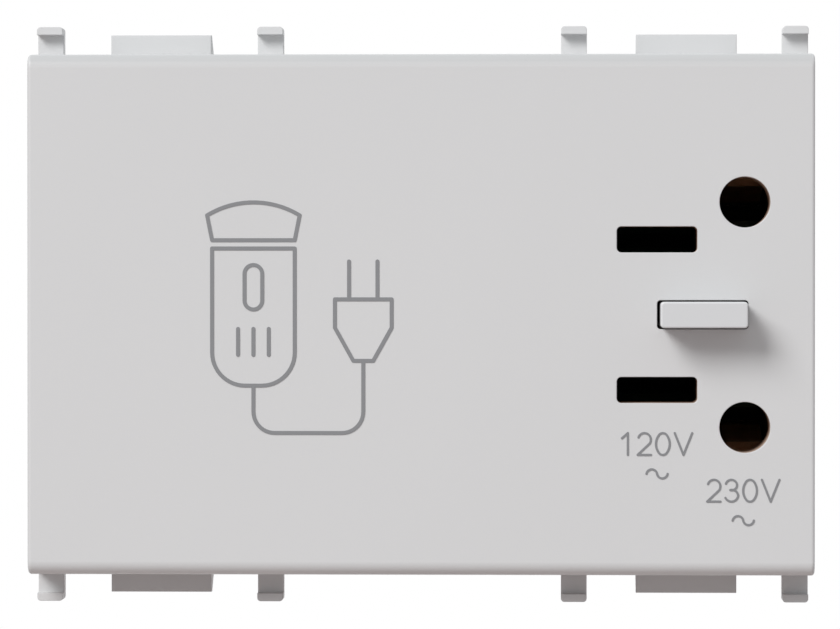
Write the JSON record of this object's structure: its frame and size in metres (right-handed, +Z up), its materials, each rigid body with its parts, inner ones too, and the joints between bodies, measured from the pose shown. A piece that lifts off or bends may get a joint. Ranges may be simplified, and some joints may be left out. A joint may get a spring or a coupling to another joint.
{
  "type": "shaver socket",
  "caption": "Flush shaver socket with a light grey clip-in front, round and flat pin openings, a sprung plunger between them, and an isolating transformer in a box behind.",
  "frame": {"origin": "middle of the plane in which the cover's rear rim and hooks seat on the mounting frame", "axes": "+X right and +Z up as seen from the front, the face looks along -Y, and +Y points into the wall"},
  "size_m": [0.0666, 0.0465, 0.0492],
  "materials": {
    "cover_plastic": "satin",
    "plunger_plastic": "satin",
    "print_ink": "matte",
    "housing_plastic": "satin",
    "black_plastic": "matte",
    "contact_bronze": "satin",
    "spring_steel": "satin",
    "screw_steel": "satin",
    "terminal_brass": "satin",
    "core_steel": "matte",
    "bobbin_plastic": "matte",
    "winding_copper": "gloss",
    "winding_tape": "satin",
    "barrier_board": "matte",
    "lead_white": "satin",
    "lead_red": "satin",
    "lead_brown": "satin",
    "lead_blue": "satin"
  },
  "bodies": {
    "base": {"front_cover": "cover_plastic", "face_print": "print_ink", "rear_housing": "housing_plastic", "housing_screws": "screw_steel", "contact_block": "black_plastic", "terminal_block": "black_plastic", "round_contact_upper": "contact_bronze", "round_contact_lower": "contact_bronze", "flat_contact_upper": "contact_bronze", "flat_contact_lower": "contact_bronze", "switch_contact_left": "contact_bronze", "switch_contact_right": "contact_bronze", "plunger_spring": "spring_steel", "terminal_bar_live": "terminal_brass", "terminal_bar_neutral": "terminal_brass", "transformer_core_e": "core_steel", "transformer_core_i": "core_steel", "bobbin": "bobbin_plastic", "primary_winding": "winding_copper", "secondary_winding": "winding_copper", "primary_tape": "winding_tape", "secondary_tape": "winding_tape", "thermal_cutout": "black_plastic", "insulating_barrier": "barrier_board", "secondary_common_lead": "lead_white", "secondary_full_lead": "lead_red", "secondary_tap_lead": "lead_white", "primary_switch_lead": "lead_brown", "primary_neutral_lead": "lead_blue", "terminal_switch_lead": "lead_brown"},
    "push": {"plunger": "plunger_plastic", "contact_bridge": "contact_bronze", "bridge_clip": "spring_steel"},
    "screw_live": {"terminal_screw_live": "screw_steel"},
    "screw_neutral": {"terminal_screw_neutral": "screw_steel"},
    "cage_live": {"terminal_cage_live": "screw_steel"},
    "cage_neutral": {"terminal_cage_neutral": "screw_steel"}
  },
  "joints": [
    {"name": "plunger_push", "type": "slide", "parent": "base", "child": "push", "axis": [0, 1, 0], "range_m": [0, 0.0035], "stiffness_N_per_m": 300, "springref_m": -0.005, "deforming": ["plunger_spring"]},
    {"name": "screw_live_turn", "type": "hinge", "parent": "base", "child": "screw_live", "pos_m": [0.0265, 0.03, 0.0042], "axis": [0, -1, 0], "range_deg": [0, 1872]},
    {"name": "screw_neutral_turn", "type": "hinge", "parent": "base", "child": "screw_neutral", "pos_m": [0.0265, 0.03, -0.0042], "axis": [0, -1, 0], "range_deg": [0, 1872]},
    {"name": "cage_live_rise", "type": "slide", "parent": "base", "child": "cage_live", "axis": [0, 1, 0], "range_m": [0, 0.0026]},
    {"name": "cage_neutral_rise", "type": "slide", "parent": "base", "child": "cage_neutral", "axis": [0, 1, 0], "range_m": [0, 0.0026]}
  ],
  "couplings": [
    {"joint": "screw_live_turn", "follows": "cage_live_rise", "rad_per_m": 12566},
    {"joint": "screw_neutral_turn", "follows": "cage_neutral_rise", "rad_per_m": 12566}
  ]
}
